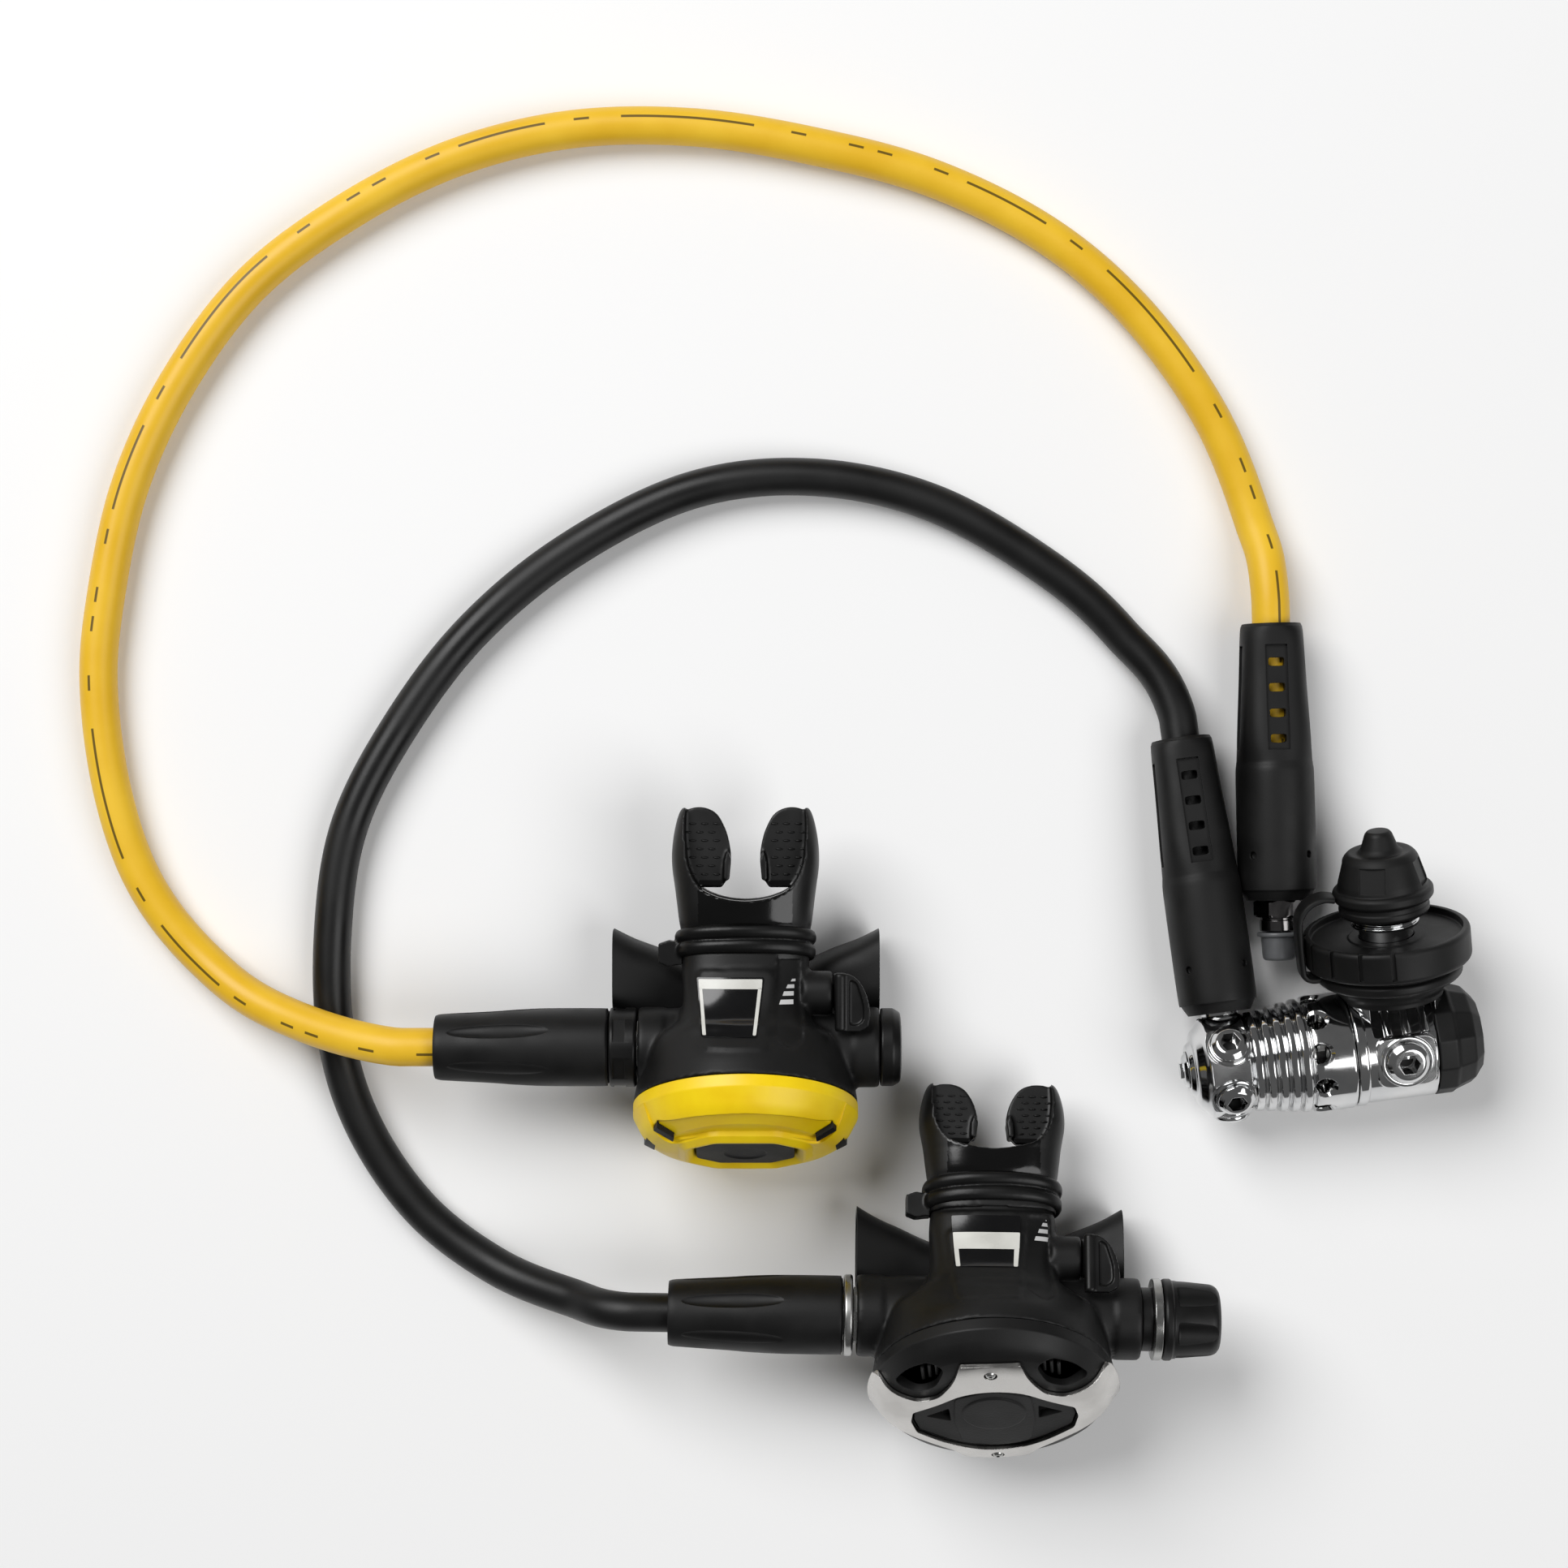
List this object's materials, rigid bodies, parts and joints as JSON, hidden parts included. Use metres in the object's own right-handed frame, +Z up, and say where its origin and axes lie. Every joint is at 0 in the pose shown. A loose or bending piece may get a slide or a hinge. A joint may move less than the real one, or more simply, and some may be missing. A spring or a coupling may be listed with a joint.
{
  "type": "scuba regulator set",
  "caption": "Scuba regulator set laid on a table: chromed first stage with a threaded inlet, two second stages with mouthpieces, and two hoses in loops.",
  "frame": {"origin": "on the table, under the middle of the box of the hard parts (hoses and what is on them left out)", "axes": "+Z up from the table; +X to the right and +Y away, as the set is seen from above"},
  "size_m": [0.477, 0.4581, 0.0802],
  "materials": {
    "chrome": "polished chrome plate",
    "dark_chrome": "dark polished plate",
    "steel": "machined stainless steel",
    "bronze": "sintered bronze",
    "brushed_metal": "satin brushed metal",
    "black_plastic": "fine moulded grain",
    "black_rubber": "matt moulded rubber",
    "silicone": "soft satin silicone",
    "black_hose": "smooth extruded cover",
    "yellow_hose": "smooth extruded cover",
    "yellow_plastic": "satin moulded plastic",
    "clear_plastic": "cloudy translucent plastic"
  },
  "bodies": {
    "hose_set": {"turret": "chrome", "turret_end_plug": "chrome", "lp_plug_1": "chrome", "lp_plug_2": "chrome", "lp_plug_3": "chrome", "black_hose_fitting": "chrome", "black_hose_protector": "black_rubber", "black_hose": "black_hose", "primary_hose_protector": "black_rubber", "primary_swivel_nut": "brushed_metal", "yellow_hose": "yellow_hose", "yellow_hose_fitting": "dark_chrome", "yellow_hose_protector": "black_rubber", "octopus_hose_protector": "black_rubber", "octopus_swivel_nut": "black_plastic"},
    "first_stage": {"main_body": "chrome", "ambient_cap": "chrome", "end_cover": "black_rubber", "gauge_port_plug": "chrome", "din_connector": "chrome", "inlet_filter": "bronze", "din_neck_cover": "black_rubber", "cap_tether": "black_rubber", "main_spring": "steel"},
    "piston": {"piston": "steel"},
    "handwheel": {"handwheel": "black_plastic"},
    "din_cap": {"din_cap": "black_rubber"},
    "fitting_cap": {"fitting_dust_cap": "clear_plastic"},
    "primary_stage": {"primary_case": "black_plastic", "primary_cover": "black_plastic", "primary_trim": "brushed_metal", "trim_screw_top": "steel", "trim_screw_bottom": "steel", "primary_diaphragm": "black_rubber", "primary_barrel": "steel", "primary_mouthpiece": "silicone", "primary_mouthpiece_tie": "black_plastic", "primary_exhaust_tee": "black_rubber", "primary_exhaust_valve": "silicone"},
    "primary_knob": {"primary_knob": "black_plastic", "primary_knob_ring": "brushed_metal"},
    "octopus_stage": {"octopus_case": "black_plastic", "octopus_cover": "yellow_plastic", "octopus_end_plug": "black_plastic", "octopus_diaphragm": "black_rubber", "octopus_barrel": "steel", "octopus_mouthpiece": "silicone", "octopus_mouthpiece_tie": "black_plastic", "octopus_exhaust_tee": "black_rubber", "octopus_exhaust_valve": "silicone"},
    "primary_purge": {"primary_purge_button": "black_plastic"},
    "primary_plate": {"primary_diaphragm_plate": "steel"},
    "primary_lever": {"primary_demand_lever": "steel"},
    "primary_poppet": {"primary_poppet": "steel"},
    "primary_dive": {"primary_dive_lever": "black_plastic"},
    "octopus_purge": {"octopus_purge_button": "black_plastic"},
    "octopus_plate": {"octopus_diaphragm_plate": "steel"},
    "octopus_lever": {"octopus_demand_lever": "steel"},
    "octopus_poppet": {"octopus_poppet": "steel"},
    "octopus_dive": {"octopus_dive_lever": "black_plastic"}
  },
  "joints": [
    {"name": "turret_swivel", "type": "hinge", "parent": "hose_set", "child": "first_stage", "pos_m": [0.1255, 0.0294, 0.0201], "axis": [0.9914, 0.1305, 0], "range_deg": [0, 285]},
    {"name": "handwheel_turn", "type": "hinge", "parent": "first_stage", "child": "handwheel", "pos_m": [0.12172, 0.05813, 0.02787], "axis": [-0.1261, 0.9577, 0.2588], "continuous": true},
    {"name": "din_cap_pull", "type": "slide", "parent": "first_stage", "child": "din_cap", "axis": [-0.1261, 0.9577, 0.2588], "range_m": [0, 0.03]},
    {"name": "piston_stroke", "type": "slide", "parent": "first_stage", "child": "piston", "axis": [0.9914, 0.1305, 0], "range_m": [0, 0.0008], "stiffness_N_per_m": 3000, "springref_m": -0.003},
    {"name": "fitting_cap_pull", "type": "slide", "parent": "hose_set", "child": "fitting_cap", "axis": [0.0244, -0.9997, 0], "range_m": [0, 0.009]},
    {"name": "primary_swivel", "type": "hinge", "parent": "hose_set", "child": "primary_stage", "pos_m": [-0.0122, -0.0607, 0.0373], "axis": [0.9999, -0.014, 0], "continuous": true},
    {"name": "octopus_swivel", "type": "hinge", "parent": "hose_set", "child": "octopus_stage", "pos_m": [-0.0943, 0.029, 0.0336], "axis": [1, 0, 0], "range_deg": [-150, 150]},
    {"name": "primary_knob_turn", "type": "hinge", "parent": "primary_stage", "child": "primary_knob", "pos_m": [0.0368, -0.06138, 0.0373], "axis": [0.9999, -0.014, 0], "range_deg": [-450, 450]},
    {"name": "primary_purge_press", "type": "slide", "parent": "primary_stage", "child": "primary_purge", "axis": [0.0109, 0.7771, -0.6293], "range_m": [0, 0.0035], "stiffness_N_per_m": 250, "springref_m": -0.002},
    {"name": "primary_plate_press", "type": "slide", "parent": "primary_stage", "child": "primary_plate", "axis": [0.0109, 0.7771, -0.6293], "range_m": [0, 0.0035]},
    {"name": "primary_lever_swing", "type": "hinge", "parent": "primary_stage", "child": "primary_lever", "pos_m": [-0.00124, -0.06396, 0.03982], "axis": [-0.0088, -0.6293, -0.7771], "range_deg": [0, 12.5]},
    {"name": "primary_poppet_lift", "type": "slide", "parent": "primary_stage", "child": "primary_poppet", "axis": [0.9999, -0.014, 0], "range_m": [0, 0.001]},
    {"name": "primary_dive_swing", "type": "hinge", "parent": "primary_stage", "child": "primary_dive", "pos_m": [-0.01191, -0.04019, 0.03939], "axis": [-0.9999, 0.014, 0], "range_deg": [0, 60]},
    {"name": "octopus_purge_press", "type": "slide", "parent": "octopus_stage", "child": "octopus_purge", "axis": [0, 0.9272, -0.3746], "range_m": [0, 0.0035], "stiffness_N_per_m": 250, "springref_m": -0.002},
    {"name": "octopus_plate_press", "type": "slide", "parent": "octopus_stage", "child": "octopus_plate", "axis": [0, 0.9272, -0.3746], "range_m": [0, 0.0035]},
    {"name": "octopus_lever_swing", "type": "hinge", "parent": "octopus_stage", "child": "octopus_lever", "pos_m": [-0.0833, 0.02529, 0.0351], "axis": [0, -0.3746, -0.9272], "range_deg": [0, 12.5]},
    {"name": "octopus_poppet_lift", "type": "slide", "parent": "octopus_stage", "child": "octopus_poppet", "axis": [1, 0, 0], "range_m": [0, 0.001]},
    {"name": "octopus_dive_swing", "type": "hinge", "parent": "octopus_stage", "child": "octopus_dive", "pos_m": [-0.0943, 0.048, 0.0416], "axis": [-1, 0, 0], "range_deg": [0, 60]}
  ],
  "couplings": [
    {"joint": "primary_plate_press", "follows": "primary_purge_press", "ratio": 1},
    {"joint": "primary_lever_swing", "follows": "primary_purge_press", "rad_per_m": 59.247},
    {"joint": "primary_poppet_lift", "follows": "primary_purge_press", "ratio": 0.2857},
    {"joint": "octopus_plate_press", "follows": "octopus_purge_press", "ratio": 1},
    {"joint": "octopus_lever_swing", "follows": "octopus_purge_press", "rad_per_m": 59.247},
    {"joint": "octopus_poppet_lift", "follows": "octopus_purge_press", "ratio": 0.2857}
  ]
}
